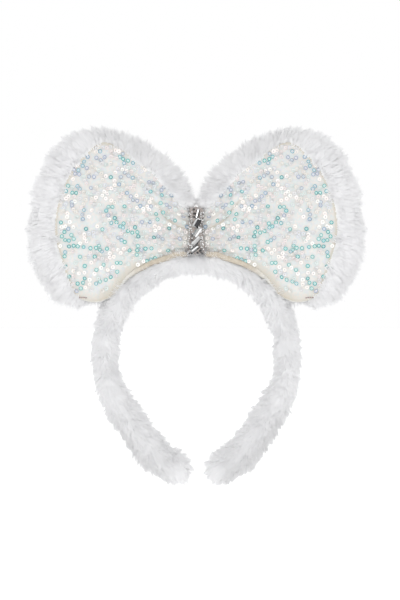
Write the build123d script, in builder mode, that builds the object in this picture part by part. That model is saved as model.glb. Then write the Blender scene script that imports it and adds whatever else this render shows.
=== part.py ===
"""Plush headband with two large bow ears, gathered at the crown by a stone-set wrap.

Frame: the origin is the head seat, the middle of the band's inner face at the crown.
+X runs to the wearer's left as seen from the front, +Y to the back, +Z up. The front faces -Y.

The band is a moulded strip inside a wadding tube inside a plush sleeve. It bends at both
shoulders, where each layer is cut square across, and the hinge line lies on the plush.
Each ear is a flat pillow: plush back and rim, two waddings on a stiffener, and a sequinned
net window. Both ears swing a little about an upright line where they enter the knot.
"""

import os
from math import cos, radians, sin, sqrt

from build123d import *

os.makedirs("parts", exist_ok=True)

# Band, in millimetres and degrees. Angles are measured from the crown, about the hoop's centre.
HOOP_RADIUS = 66.5
SLEEVE_THICK = 18.0
SLEEVE_DEEP = 30.0
HOOP_CENTRE_Z = SLEEVE_THICK / 2 - HOOP_RADIUS
SHOULDER_ANGLE = 62.0
SHOULDER_GAP = 0.35
ARC_END_ANGLE = 126.0
TAIL_LENGTH = 64.0
TIP_THICK = 20.5
TIP_DEEP = 25.0
TIP_ROUNDING = 7.5
WADDING_THICK = 12.4
WADDING_DEEP = 24.0
WADDING_TIP_THICK = 13.4
WADDING_TIP_DEEP = 19.0
WADDING_TIP_SHORT = 5.0
CORE_THICK = 2.2
CORE_WIDE = 18.0
CORE_TIP_WIDE = 11.0
CORE_TIP_SHORT = 13.0
CORE_INSET = 2.0  # the strip lies this far inside the middle of the sleeve
CORE_FLAT = 0.1  # half the flat left on the strip's rounded edge
CAP_WIDE = 14.0
CAP_THICK = 4.4
CAP_CORNER = 1.8
CAP_GRIP = 9.0
CAP_END = 2.0

# Knot at the crown. Its middle, and the ears' middle plane, stand forward of the band's.
EAR_Y = -8.0
KNOT_LOW = 13.0
KNOT_HIGH = 46.0
KNOT_HALF_DEEP = 7.2
EAR_AXIS_X = 8.0
WRAP_THICK = 1.4
WRAP_CORNER = 2.2
WRAP_WAIST_HALF = 5.3
WRAP_END_HALF = 7.6
SEAT_Z = 10.6
SEAT_HALF_WIDE = 15.8
SEAT_CLEARANCE = 0.3
PAD_HALF_WIDE = 13.0
PAD_CORNER = 3.0
STITCH_RADIUS = 0.4
STITCH_LENGTH = 5.6
STITCH_X = 10.6
STITCH_Y = 3.8

# Stones on the wrap.
BAGUETTE_LONG = 6.2
BAGUETTE_WIDE = 2.4
BAGUETTE_THICK = 1.3
BAGUETTE_SLANT = 52.0
BAGUETTE_PITCH = 5.3
BAGUETTE_COUNT = 5
BAGUETTE_BEVEL = 0.5
SETTING_WALL = 0.3
SETTING_FLOOR = 0.3
SETTING_THICK = 0.9
BEAD_RADIUS = 0.8
BEAD_PITCH = 1.85
BEAD_COUNT = 15
BEAD_EDGE = 0.3

# Ears. The outline is seen from the front, on the right.
EAR_INNER_X = 11.3
EAR_CENTRE_X = 66.0
EAR_CENTRE_Z = 38.0
EAR_HALF_DEEP = 13.0
EAR_DOME_RADIUS = 330.0
EAR_CLEARANCE = 0.8
EAR_BASE_ANGLE = 55.5
EAR_LOBE = [
    (73.5, -25.0),
    (90.0, -26.0),
    (109.0, -13.0),
    (119.0, 15.0),
    (115.5, 56.0),
    (97.0, 92.0),
    (68.0, 101.5),
    (38.0, 90.5),
    (16.5, 71.0),
    (9.9, 40.0),
]
LOBE_OVERRUN = 3.0
LOBE_STATIONS = 24
EAR_ROUNDING = 5.5
MOUTH_RADIUS = 7.6
PLUSH_THICK = 3.5
STIFFENER_THICK = 2.0
STIFFENER_INSET = 6.0
BACKING_THICK = 0.5
NET_THICK = 0.3
HEM_LIFT = 0.3
HEM_WIDE = 1.8
HEM_THICK = 0.6
HEM_ANGLES = (11.0, 32.0, 54.0)
WINDOW_TOP = (72.4, 90.0)
WINDOW_SIDE = (101.2, 33.0)
WINDOW_FOOT = (84.0, -23.5)
WINDOW_BROW = (36.2, 73.4)
WINDOW_INNER_Z = 43.5
SEQUIN_RADIUS = 1.5
SEQUIN_HOLE = 0.4
SEQUIN_THICK = 0.2
SEQUIN_LIFT = 0.06
SEQUIN_PITCH = 6.4
SEQUIN_MARGIN = 4.4
SEQUIN_FIRST_ROW = 20.0
SEQUIN_ROWS = 14
FAN_LOW = -60.0
FAN_ANGLE = 140.0

BAND_AXIS = Axis((0, 0, HOOP_CENTRE_Z), (0, 1, 0))
ARM_START_ANGLE = SHOULDER_ANGLE + SHOULDER_GAP
OUTER_RADIUS = HOOP_RADIUS + SLEEVE_THICK / 2
CORE_TAIL = TAIL_LENGTH - CORE_TIP_SHORT
WADDING_TAIL = TAIL_LENGTH - WADDING_TIP_SHORT
FRONT = Plane.XZ.offset(-EAR_Y)
WRAP_FRONT = KNOT_HALF_DEEP + WRAP_THICK
KNOT_MIDDLE = (KNOT_LOW + KNOT_HIGH) / 2
KNOT_TALL = KNOT_HIGH - KNOT_LOW


def save(part, label):
    """Writes one sub-part as its own STEP file."""
    part.label = label
    export_step(part, f"parts/{label}.step")


def save_pair(part, label):
    """Writes the right-hand sub-part and its mirror image."""
    save(part, f"{label}_right")
    with BuildPart() as other:
        mirror(part, about=Plane.YZ)
    save(other.part, f"{label}_left")


# ---------------------------------------------------------------- band sections


def band_plane(angle):
    """The band's section plane: local x runs to the back and local y outwards."""
    a = radians(angle)
    origin = (HOOP_RADIUS * sin(a), 0, HOOP_CENTRE_Z + HOOP_RADIUS * cos(a))
    return Plane(origin, x_dir=(0, 1, 0), z_dir=(cos(a), 0, -sin(a)))


def oval(plane, deep, thick):
    with BuildSketch(plane) as section:
        Ellipse(deep / 2, thick / 2)
    return section.sketch


def strip(plane, wide, thick=CORE_THICK):
    with BuildSketch(plane) as section:
        with Locations((0, -CORE_INSET)):
            RectangleRounded(wide, thick, thick / 2 - CORE_FLAT)
    return section.sketch


def crown_run(section, mode=Mode.ADD):
    """Turns a section that stands at the left shoulder round to the right shoulder."""
    revolve(section, axis=BAND_AXIS, revolution_arc=2 * SHOULDER_ANGLE, mode=mode)


def arm_run(section, deep, thick, tip_deep, tip_thick, tail, mode=Mode.ADD):
    """Turns a section from the shoulder to the end of the arc, then runs it down the tail."""
    start = section(band_plane(ARM_START_ANGLE), deep, thick)
    end = section(band_plane(ARC_END_ANGLE), deep, thick)
    tip = section(band_plane(ARC_END_ANGLE).offset(tail), tip_deep, tip_thick)
    revolve(start, axis=BAND_AXIS, revolution_arc=ARC_END_ANGLE - ARM_START_ANGLE, mode=mode)
    loft([end, tip], mode=mode)


def cut_seat():
    """Cuts the seat for the knot into the top and front of the crown."""
    with Locations((0, EAR_Y + WRAP_FRONT + SEAT_CLEARANCE, SEAT_Z)):
        Box(
            2 * SEAT_HALF_WIDE,
            2 * SLEEVE_DEEP,
            SLEEVE_THICK,
            align=(Align.CENTER, Align.MAX, Align.MIN),
            mode=Mode.SUBTRACT,
        )


# ---------------------------------------------------------------- band: crown and two arms

LEFT_SHOULDER = band_plane(-SHOULDER_ANGLE)
tail_direction = band_plane(ARC_END_ANGLE).z_dir
cap_plane = band_plane(ARC_END_ANGLE).offset(CORE_TAIL - CAP_GRIP)
cap_axis = Axis(cap_plane.origin, tail_direction)
STITCH_PLACES = [(x, EAR_Y + y, SEAT_Z) for x in (-STITCH_X, STITCH_X) for y in (-STITCH_Y, STITCH_Y)]

with BuildPart() as stitches:
    with Locations(*STITCH_PLACES):
        Cylinder(STITCH_RADIUS, STITCH_LENGTH)
save(stitches.part, "knot_stitches")

with BuildPart() as core_crown:
    crown_run(strip(LEFT_SHOULDER, CORE_WIDE))
save(core_crown.part, "band_core_crown")

with BuildPart() as wadding_crown:
    crown_run(oval(LEFT_SHOULDER, WADDING_DEEP, WADDING_THICK))
    crown_run(strip(LEFT_SHOULDER, CORE_WIDE), mode=Mode.SUBTRACT)
    cut_seat()
    add(stitches.part, mode=Mode.SUBTRACT)
save(wadding_crown.part, "band_wadding_crown")

with BuildPart() as sleeve_crown:
    crown_run(oval(LEFT_SHOULDER, SLEEVE_DEEP, SLEEVE_THICK))
    crown_run(oval(LEFT_SHOULDER, WADDING_DEEP, WADDING_THICK), mode=Mode.SUBTRACT)
    cut_seat()
    add(stitches.part, mode=Mode.SUBTRACT)
save(sleeve_crown.part, "band_sleeve_crown")

with BuildPart() as core_arm:
    arm_run(strip, CORE_WIDE, CORE_THICK, CORE_TIP_WIDE, CORE_THICK, CORE_TAIL)
save_pair(core_arm.part, "band_core")

with BuildPart() as tip_cap:
    with BuildSketch(cap_plane):
        with Locations((0, -CORE_INSET)):
            RectangleRounded(CAP_WIDE, CAP_THICK, CAP_CORNER)
    extrude(amount=CAP_GRIP + CAP_END)
    fillet(tip_cap.faces().sort_by(cap_axis)[-1].edges(), CAP_END / 2)
    add(core_arm.part, mode=Mode.SUBTRACT)
save_pair(tip_cap.part, "tip_cap")

with BuildPart() as wadding_arm:
    arm_run(oval, WADDING_DEEP, WADDING_THICK, WADDING_TIP_DEEP, WADDING_TIP_THICK, WADDING_TAIL)
    add(core_arm.part, mode=Mode.SUBTRACT)
    add(tip_cap.part, mode=Mode.SUBTRACT)
save_pair(wadding_arm.part, "band_wadding")

with BuildPart() as sleeve_arm:
    arm_run(oval, SLEEVE_DEEP, SLEEVE_THICK, TIP_DEEP, TIP_THICK, TAIL_LENGTH)
    fillet(sleeve_arm.faces().sort_by(cap_axis)[-1].edges(), TIP_ROUNDING)
    arm_run(
        oval,
        WADDING_DEEP,
        WADDING_THICK,
        WADDING_TIP_DEEP,
        WADDING_TIP_THICK,
        WADDING_TAIL,
        mode=Mode.SUBTRACT,
    )
save_pair(sleeve_arm.part, "band_sleeve")

# ---------------------------------------------------------------- knot: core, wrap, pad

with BuildPart() as knot_core:
    with BuildSketch(Plane.XY.offset(KNOT_LOW)):
        with Locations((0, EAR_Y)):
            SlotCenterToCenter(2 * EAR_AXIS_X, 2 * KNOT_HALF_DEEP)
    extrude(amount=KNOT_TALL)
    with BuildSketch(Plane.YZ):
        with Locations((EAR_Y, KNOT_MIDDLE)):
            RectangleRounded(2 * KNOT_HALF_DEEP, KNOT_TALL, WRAP_CORNER)
    extrude(amount=4 * EAR_AXIS_X, both=True, mode=Mode.INTERSECT)
    add(stitches.part, mode=Mode.SUBTRACT)
save(knot_core.part, "knot_core")

with BuildPart() as wrap:
    with BuildSketch(Plane.YZ):
        with Locations((EAR_Y, KNOT_MIDDLE)):
            RectangleRounded(2 * WRAP_FRONT, KNOT_TALL + 2 * WRAP_THICK, WRAP_CORNER + WRAP_THICK)
            RectangleRounded(2 * KNOT_HALF_DEEP, KNOT_TALL, WRAP_CORNER, mode=Mode.SUBTRACT)
    extrude(amount=WRAP_END_HALF, both=True)
    with BuildSketch(Plane.XZ):
        with BuildLine():
            low_z = KNOT_LOW - WRAP_THICK
            high_z = KNOT_HIGH + WRAP_THICK
            right_side = ThreePointArc(
                (WRAP_END_HALF, low_z), (WRAP_WAIST_HALF, KNOT_MIDDLE), (WRAP_END_HALF, high_z)
            )
            left_side = ThreePointArc(
                (-WRAP_END_HALF, high_z), (-WRAP_WAIST_HALF, KNOT_MIDDLE), (-WRAP_END_HALF, low_z)
            )
            Line(right_side @ 1, left_side @ 0)
            Line(left_side @ 1, right_side @ 0)
        make_face()
    extrude(amount=2 * SLEEVE_DEEP, both=True, mode=Mode.INTERSECT)
save(wrap.part, "knot_wrap")

with BuildPart() as pad:
    with BuildSketch(Plane.XY.offset(SEAT_Z)):
        with Locations((0, EAR_Y)):
            RectangleRounded(2 * PAD_HALF_WIDE, 2 * KNOT_HALF_DEEP, PAD_CORNER)
    extrude(amount=KNOT_LOW - WRAP_THICK - SEAT_Z)
    add(stitches.part, mode=Mode.SUBTRACT)
save(pad.part, "knot_pad")

# ---------------------------------------------------------------- stones and beads on the wrap

STONE_PLANE = Plane.XZ.offset(WRAP_FRONT - EAR_Y)
stone_rise = [KNOT_MIDDLE + BAGUETTE_PITCH * (i - (BAGUETTE_COUNT - 1) / 2) for i in range(BAGUETTE_COUNT)]
wrap_bend = (WRAP_END_HALF - WRAP_WAIST_HALF) / (KNOT_TALL / 2 + WRAP_THICK) ** 2


def bead_places(side):
    """Bead centres along one waisted edge of the wrap's front."""
    heights = [KNOT_MIDDLE + BEAD_PITCH * (i - (BEAD_COUNT - 1) / 2) for i in range(BEAD_COUNT)]
    edge = WRAP_WAIST_HALF - BEAD_RADIUS - BEAD_EDGE
    return [(side * (edge + wrap_bend * (z - KNOT_MIDDLE) ** 2), z) for z in heights]


with BuildPart() as stones:
    with BuildSketch(STONE_PLANE.offset(SETTING_FLOOR)):
        with Locations(*[Location((0, z), BAGUETTE_SLANT) for z in stone_rise]):
            Rectangle(BAGUETTE_LONG, BAGUETTE_WIDE)
    extrude(amount=BAGUETTE_THICK)
    stone_tops = stones.faces().filter_by(Axis.Y).group_by(Axis.Y)[0]
    chamfer(stone_tops.edges(), BAGUETTE_BEVEL)
save(stones.part, "baguette_stones")

with BuildPart() as settings:
    with BuildSketch(STONE_PLANE):
        with Locations(*[Location((0, z), BAGUETTE_SLANT) for z in stone_rise]):
            Rectangle(BAGUETTE_LONG + 2 * SETTING_WALL, BAGUETTE_WIDE + 2 * SETTING_WALL)
    extrude(amount=SETTING_THICK)
    add(stones.part, mode=Mode.SUBTRACT)
save(settings.part, "baguette_settings")

with BuildPart() as beads:
    with Locations(STONE_PLANE):
        with Locations(*[(x, z, 0) for side in (-1, 1) for x, z in bead_places(side)]):
            Sphere(BEAD_RADIUS, arc_size1=0, align=(Align.CENTER, Align.CENTER, Align.NONE))
save(beads.part, "wrap_beads")

# ---------------------------------------------------------------- ears

BASE_RADIUS = OUTER_RADIUS + EAR_CLEARANCE


def hoop_point(radius, angle):
    """A point in the front view, on a circle about the hoop's centre."""
    return (radius * sin(radians(angle)), HOOP_CENTRE_Z + radius * cos(radians(angle)))


lobe = Spline([hoop_point(BASE_RADIUS - LOBE_OVERRUN, EAR_BASE_ANGLE)] + EAR_LOBE)


def ear_outline(inset=0.0):
    """The ear seen from the front, drawn in by an inset: its lobe, less the band and the knot."""
    stations = [i / LOBE_STATIONS for i in range(LOBE_STATIONS + 1)]
    drawn_in = [lobe @ t + inset * (lobe % t).rotate(Axis.Z, 90) for t in stations]
    with BuildSketch(FRONT) as outline:
        with BuildLine():
            edge = Spline(*drawn_in)
            Polyline(edge @ 1, (0, EAR_LOBE[-1][1]), (0, HOOP_CENTRE_Z), edge @ 0)
        make_face()
        with Locations((0, HOOP_CENTRE_Z)):
            Circle(BASE_RADIUS + inset, mode=Mode.SUBTRACT)
        Rectangle(2 * (EAR_INNER_X + inset), 4 * EAR_CENTRE_X, mode=Mode.SUBTRACT)
    return outline.sketch


def window_outline(inset=0.0):
    """The sequinned window seen from the front; it is open along the band."""
    corner = (WINDOW_TOP[0] - inset, WINDOW_TOP[1] - inset)
    foot = (WINDOW_FOOT[0] - inset, WINDOW_FOOT[1])
    foot_low = (foot[0], foot[1] - EAR_HALF_DEEP)
    mouth_high = (EAR_INNER_X, WINDOW_INNER_Z - inset)
    with BuildSketch(FRONT) as outline:
        with BuildLine():
            Spline(mouth_high, (WINDOW_BROW[0], WINDOW_BROW[1] - inset), corner)
            ThreePointArc(corner, (WINDOW_SIDE[0] - inset, WINDOW_SIDE[1]), foot)
            Polyline(foot, foot_low, (0, foot_low[1]), (0, mouth_high[1]), mouth_high)
        make_face()
    return outline.sketch


def dome(inset, side, mode=Mode.INTERSECT):
    """Rounds the ear's front (side -1) or back (side 1) with a shallow ball face."""
    centre_y = EAR_Y + side * (EAR_HALF_DEEP - EAR_DOME_RADIUS)
    with Locations((EAR_CENTRE_X, centre_y, EAR_CENTRE_Z)):
        Sphere(EAR_DOME_RADIUS - inset, mode=mode)


def half_block(side, mode=Mode.INTERSECT):
    """Keeps the front half (side -1) or the back half (side 1) of an ear."""
    with BuildSketch(Plane.XZ.offset(-EAR_Y)) as sheet:
        with Locations((EAR_CENTRE_X, EAR_CENTRE_Z)):
            Rectangle(4 * EAR_CENTRE_X, 4 * EAR_CENTRE_X)
    extrude(sheet.sketch, amount=-side * 2 * EAR_HALF_DEEP, mode=mode)


def mouth_cut(radius):
    """Hollows the ear's inner end so that it turns round the knot."""
    with Locations((EAR_AXIS_X, EAR_Y, KNOT_MIDDLE)):
        Cylinder(radius, 4 * KNOT_TALL, mode=Mode.SUBTRACT)


with BuildPart() as ear_pillow:
    extrude(ear_outline(), amount=2 * EAR_HALF_DEEP, both=True)
    dome(0, -1)
    dome(0, 1)
    rims = ear_pillow.edges().filter_by(lambda edge: abs(edge.center().Y - EAR_Y) > EAR_ROUNDING / 2)
    fillet(rims, EAR_ROUNDING)
    mouth_cut(MOUTH_RADIUS)

with BuildPart() as ear_filling:
    extrude(ear_outline(PLUSH_THICK), amount=2 * EAR_HALF_DEEP, both=True)
    dome(PLUSH_THICK, -1)
    dome(PLUSH_THICK, 1)
    mouth_cut(MOUTH_RADIUS + PLUSH_THICK)

with BuildPart() as window_block:
    extrude(window_outline(), amount=2 * EAR_HALF_DEEP)

with BuildPart() as stiffener:
    extrude(ear_outline(STIFFENER_INSET), amount=STIFFENER_THICK / 2, both=True)
    mouth_cut(MOUTH_RADIUS + STIFFENER_INSET)
save_pair(stiffener.part, "ear_stiffener")

for side, place in ((-1, "front"), (1, "back")):
    with BuildPart() as ear_wadding:
        add(ear_filling.part)
        half_block(side)
        add(stiffener.part, mode=Mode.SUBTRACT)
    save_pair(ear_wadding.part, f"ear_wadding_{place}")

with BuildPart() as ear_back:
    add(ear_pillow.part)
    half_block(1)
    add(ear_filling.part, mode=Mode.SUBTRACT)
save_pair(ear_back.part, "ear_plush_back")

with BuildPart() as ear_rim:
    add(ear_pillow.part)
    half_block(-1)
    add(ear_filling.part, mode=Mode.SUBTRACT)
    add(window_block.part, mode=Mode.SUBTRACT)
save_pair(ear_rim.part, "ear_plush_rim")

# ---------------------------------------------------------------- sequinned window


def window_layer(outer_inset, inner_inset):
    """One thin domed sheet that fills the window, between two depths below the plush face."""
    extrude(ear_outline(PLUSH_THICK), amount=2 * EAR_HALF_DEEP)
    dome(outer_inset, -1)
    dome(inner_inset, -1, mode=Mode.SUBTRACT)
    add(window_block.part, mode=Mode.INTERSECT)
    mouth_cut(MOUTH_RADIUS + PLUSH_THICK)


NET_BACK = PLUSH_THICK - BACKING_THICK
NET_FACE = NET_BACK - NET_THICK

with BuildPart() as backing:
    window_layer(NET_BACK, PLUSH_THICK)
save_pair(backing.part, "window_backing")

with BuildPart() as net:
    window_layer(NET_FACE, NET_BACK)
save_pair(net.part, "sequin_net")

with BuildPart() as hem:
    with BuildSketch(FRONT):
        with BuildLine():
            hem_low = BASE_RADIUS + PLUSH_THICK + HEM_LIFT
            hem_high = hem_low + HEM_WIDE
            lower_arc = ThreePointArc(*[hoop_point(hem_low, a) for a in HEM_ANGLES])
            upper_arc = ThreePointArc(*[hoop_point(hem_high, a) for a in HEM_ANGLES])
            Line(lower_arc @ 0, upper_arc @ 0)
            Line(lower_arc @ 1, upper_arc @ 1)
        make_face()
    extrude(amount=2 * EAR_HALF_DEEP)
    dome(NET_FACE - HEM_THICK, -1)
    dome(NET_FACE, -1, mode=Mode.SUBTRACT)
save_pair(hem.part, "hem_binding")


def net_plane(x, z):
    """A plane that lies on the net's face, above a point of the front view."""
    radius = EAR_DOME_RADIUS - NET_FACE + SEQUIN_LIFT
    dx = x - EAR_CENTRE_X
    dz = z - EAR_CENTRE_Z
    dy = -sqrt(radius**2 - dx**2 - dz**2)
    centre_y = EAR_Y - EAR_HALF_DEEP + EAR_DOME_RADIUS
    return Plane((x, centre_y + dy, z), x_dir=(1, 0, 0), z_dir=(dx, dy, dz))


with BuildPart() as sequin_room:
    with BuildSketch(FRONT):
        add(ear_outline(PLUSH_THICK + SEQUIN_MARGIN))
        add(window_outline(SEQUIN_MARGIN), mode=Mode.INTERSECT)
    extrude(amount=1, both=True)


def sequin_row(row):
    """Sequin centres along one curved row about the knot, clear of the window's edges."""
    count = int(row * radians(FAN_ANGLE) / SEQUIN_PITCH)
    places = []
    for i in range(count):
        angle = radians(FAN_LOW + FAN_ANGLE * (i + 0.5) / count)
        x = row * cos(angle)
        z = KNOT_MIDDLE + row * sin(angle)
        if sequin_room.part.is_inside(Vector(x, EAR_Y, z)):
            places.append(net_plane(x, z))
    return places


rows = [SEQUIN_FIRST_ROW + SEQUIN_PITCH * i for i in range(SEQUIN_ROWS)]
sequin_planes = [plane for row in rows for plane in sequin_row(row)]

with BuildPart() as sequins:
    with BuildSketch(*sequin_planes):
        Circle(SEQUIN_RADIUS)
        Circle(SEQUIN_HOLE, mode=Mode.SUBTRACT)
    extrude(amount=SEQUIN_THICK)
save_pair(sequins.part, "sequins")
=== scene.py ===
"""Looks of the plush bow-eared headband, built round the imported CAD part.

Shapes are worked out in millimetres in the part's own frame and turned into metres when a
mesh is made. The right-hand ear and arm are worked out once and mirrored.
"""

import math

import bpy
import numpy as np
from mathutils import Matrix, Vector, kdtree


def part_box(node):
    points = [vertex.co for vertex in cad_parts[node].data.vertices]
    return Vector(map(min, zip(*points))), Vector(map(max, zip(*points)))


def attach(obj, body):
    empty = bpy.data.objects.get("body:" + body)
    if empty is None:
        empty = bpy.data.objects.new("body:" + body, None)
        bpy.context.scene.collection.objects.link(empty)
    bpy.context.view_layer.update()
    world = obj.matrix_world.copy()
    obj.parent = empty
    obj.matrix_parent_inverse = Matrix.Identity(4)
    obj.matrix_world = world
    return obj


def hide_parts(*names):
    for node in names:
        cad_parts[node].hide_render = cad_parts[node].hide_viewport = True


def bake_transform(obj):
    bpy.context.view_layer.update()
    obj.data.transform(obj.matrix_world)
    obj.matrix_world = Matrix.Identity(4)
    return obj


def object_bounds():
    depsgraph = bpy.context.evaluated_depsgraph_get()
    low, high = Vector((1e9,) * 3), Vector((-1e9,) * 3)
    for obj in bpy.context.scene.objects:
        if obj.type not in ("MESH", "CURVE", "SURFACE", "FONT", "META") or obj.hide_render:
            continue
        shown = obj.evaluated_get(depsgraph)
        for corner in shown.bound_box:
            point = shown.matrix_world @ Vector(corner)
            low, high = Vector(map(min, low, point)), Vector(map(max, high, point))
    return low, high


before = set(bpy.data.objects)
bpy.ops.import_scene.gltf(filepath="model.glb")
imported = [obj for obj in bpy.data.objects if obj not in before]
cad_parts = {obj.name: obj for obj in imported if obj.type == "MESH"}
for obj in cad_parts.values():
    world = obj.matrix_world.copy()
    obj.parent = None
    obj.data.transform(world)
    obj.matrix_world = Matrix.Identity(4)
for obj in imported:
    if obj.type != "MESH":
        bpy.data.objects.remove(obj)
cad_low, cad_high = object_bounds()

MM = 0.001
WHITE = (1.0, 1.0, 1.0)
SIDES = (("right", 1), ("left", -1))
FUR_SHARE = 1.0


def box_mm(node):
    low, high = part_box(node)
    return np.array(low) / MM, np.array(high) / MM


# ---------------- places read from the frame

sleeve_high = box_mm("band_sleeve_crown")[1]
arm_high = box_mm("band_sleeve_right")[1]
knot_low, knot_high = box_mm("knot_core")
wrap_low, wrap_high = box_mm("knot_wrap")

SLEEVE_HALF_THICK = sleeve_high[2] / 2
SLEEVE_HALF_DEEP = sleeve_high[1]
HOOP_RADIUS = arm_high[0] - SLEEVE_HALF_THICK
HOOP_Z = SLEEVE_HALF_THICK - HOOP_RADIUS
EAR_Y = (knot_low[1] + knot_high[1]) / 2
WRAP_FRONT = wrap_low[1]
WRAP_BACK = wrap_high[1]

# the hoop's angles are counted from its top, at the crown
ARC_END = math.radians(128.8)
EASE = math.radians(11.8)
TAIL = 64.4
HANG = 1.4
EAR_CENTRE = np.array([66.0, 38.0])
# where an ear's pile and its net are drawn together, as x and z
GATHER = np.array([6.5, 30.0])
NET_GATHER = np.array([6.5, 28.0])

# ---------------- small mathematics


def unit(v):
    return v / np.maximum(np.linalg.norm(v, axis=-1, keepdims=True), 1e-9)


def circle(count):
    """Angles evenly round a circle."""
    return np.linspace(0, 2 * np.pi, count, endpoint=False)


def laid(way, normal):
    """A way laid flat on the surface that has the normal."""
    return way - (way * normal).sum(-1, keepdims=True) * normal


def beside(*columns):
    """The arrays as the columns of one."""
    return np.stack(columns, axis=-1)


def smoothstep(x, low, high):
    t = np.clip((x - low) / (high - low), 0, 1)
    return t * t * (3 - 2 * t)


def run_along(points):
    """How far along a line each of its points lies."""
    return np.concatenate([[0], np.cumsum(np.linalg.norm(np.diff(points, axis=0), axis=1))])


def read_off(want, run, points):
    """Where a line is at the wanted runs."""
    return np.stack([np.interp(want, run, column) for column in points.T], axis=-1)


def through(points, count):
    """A smooth open line through the points, with evenly spaced stations."""
    p = np.array(points, float)
    p = np.vstack([2 * p[0] - p[1], p, 2 * p[-1] - p[-2]])
    t = np.linspace(0, 1, 40, endpoint=False)[:, None]
    fine = []
    for a, b, c, d in zip(p, p[1:], p[2:], p[3:]):
        cubic = (3 * b - a - 3 * c + d) * t**3
        fine.append(0.5 * (2 * b + (c - a) * t + (2 * a - 5 * b + 4 * c - d) * t**2 + cubic))
    fine = np.vstack(fine + [p[-2:-1]])
    run = run_along(fine)
    return read_off(np.linspace(0, run[-1], count), run, fine)


def drawn_in(line, inset):
    """A closed anticlockwise outline moved inwards."""
    ahead = np.roll(line, -1, axis=0) - np.roll(line, 1, axis=0)
    inward = unit(beside(-ahead[:, 1], ahead[:, 0]))
    return line + inward * inset


def nearest(points, stations):
    """Each point's nearest station and how far off it is; two columns are x and z."""
    points, stations = (np.pad(a, ((0, 0), (0, 3 - a.shape[1]))) for a in (points, stations))
    tree = kdtree.KDTree(len(stations))
    for i, station in enumerate(stations):
        tree.insert(station, i)
    tree.balance()
    found = [tree.find(p) for p in points]
    return np.array([f[1] for f in found]), np.array([f[2] for f in found])


def edge_distance(points, line):
    """Distance in the front view from points to the nearest station of a fine outline."""
    return nearest(points, line)[1]


def from_hoop(flat):
    """Distance in the front view from the middle of the hoop."""
    return np.hypot(flat[:, 0], flat[:, 1] - HOOP_Z)


def inside(points, line):
    """Which points of the front view lie inside a closed outline."""
    x, z = points[:, 0][:, None], points[:, 1][:, None]
    x0, z0 = line[:, 0][None], line[:, 1][None]
    x1, z1 = np.roll(line[:, 0], -1)[None], np.roll(line[:, 1], -1)[None]
    crosses = (z0 > z) != (z1 > z)
    at = x0 + (z - z0) * (x1 - x0) / np.where(z1 == z0, 1e-9, z1 - z0)
    return (crosses & (x < at)).sum(axis=1) % 2 == 1


def waves(p, scale, seed, octaves=3):
    """Soft seeded waves of about -1 to 1 over 3-D points."""
    rng = np.random.default_rng(seed)
    total = np.zeros(len(p))
    for octave in range(octaves):
        for _ in range(5):
            way = unit(rng.normal(size=3)) * 2 * np.pi / scale * 1.9**octave
            total += np.sin(p @ way + rng.uniform(0, 2 * np.pi)) * 0.55**octave / 2.2
    return total


# ---------------- meshes


def mesh_object(name, verts, quads, material, mirrored=False, tris=(), smooth=True):
    """A mesh from millimetre points. A mirrored one is turned over the middle plane."""
    verts = np.array(verts, np.float64)
    quads, tris = np.reshape(quads, (-1, 4)).astype(int), np.reshape(tris, (-1, 3)).astype(int)
    if mirrored:
        verts[:, 0] *= -1
        quads, tris = quads[:, ::-1], tris[:, ::-1]
    mesh = bpy.data.meshes.new(name)
    mesh.vertices.add(len(verts))
    mesh.vertices.foreach_set("co", (verts * MM).astype(np.float32).ravel())
    loops = np.concatenate([quads.ravel(), tris.ravel()]).astype(np.int32)
    starts = np.concatenate([np.arange(len(quads)) * 4, len(quads) * 4 + np.arange(len(tris)) * 3])
    mesh.loops.add(len(loops))
    mesh.loops.foreach_set("vertex_index", loops)
    mesh.polygons.add(len(starts))
    mesh.polygons.foreach_set("loop_start", starts.astype(np.int32))
    mesh.update(calc_edges=True)
    mesh.polygons.foreach_set("use_smooth", np.full(len(starts), smooth))
    mesh.materials.append(material)
    made = bpy.data.objects.new(name, mesh)
    bpy.context.scene.collection.objects.link(made)
    return made


def grid_quads(rows, columns, closed_rows=False, closed_columns=False):
    """Quads of a grid whose vertex (i, j) is at i * columns + j."""
    i = np.arange(rows if closed_rows else rows - 1)
    j = np.arange(columns if closed_columns else columns - 1)
    i, j = (a.ravel() for a in np.meshgrid(i, j, indexing="ij"))
    i1, j1 = (i + 1) % rows, (j + 1) % columns
    return beside(i * columns + j, i * columns + j1, i1 * columns + j1, i1 * columns + j)


def corners(values, quads):
    """The values at the quads' four corners."""
    return (values[quads[:, k]] for k in range(4))


def quad_ways(verts, quads):
    """The way each quad faces, as long as twice its area."""
    a, b, c, d = corners(verts, quads)
    return np.cross(c - a, d - b)


def surface_normals(verts, quads):
    n = np.zeros_like(verts)
    face = quad_ways(verts, quads)
    for k in range(4):
        np.add.at(n, quads[:, k], face)
    return unit(n)


def merged(parts):
    """The verts and quads of all the parts together."""
    offsets = np.cumsum([0] + [len(p[0]) for p in parts])
    quads = [p[1] + offset for p, offset in zip(parts, offsets)]
    return np.vstack([p[0] for p in parts]), np.vstack(quads)


# ---------------- plush pile

LOCK_REACH = 3.2
BLADE_WIDE = 0.38
STRAY = 0.12


def scatter(verts, quads, keep, per_mm2, rng):
    """Random places on the quads that are kept: point, normal."""
    normals = surface_normals(verts, quads)
    chosen = quads[keep]
    area = np.linalg.norm(quad_ways(verts, chosen), axis=1) / 2
    count = int(area.sum() * per_mm2 * FUR_SHARE)
    chosen = chosen[rng.choice(len(chosen), count, p=area / area.sum())]
    u, v = rng.random((2, count, 1))

    def between(a, b, c, d):
        return (1 - u) * (1 - v) * a + u * (1 - v) * b + u * v * c + (1 - u) * v * d

    return between(*corners(verts, chosen)), unit(between(*corners(normals, chosen)))


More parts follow.
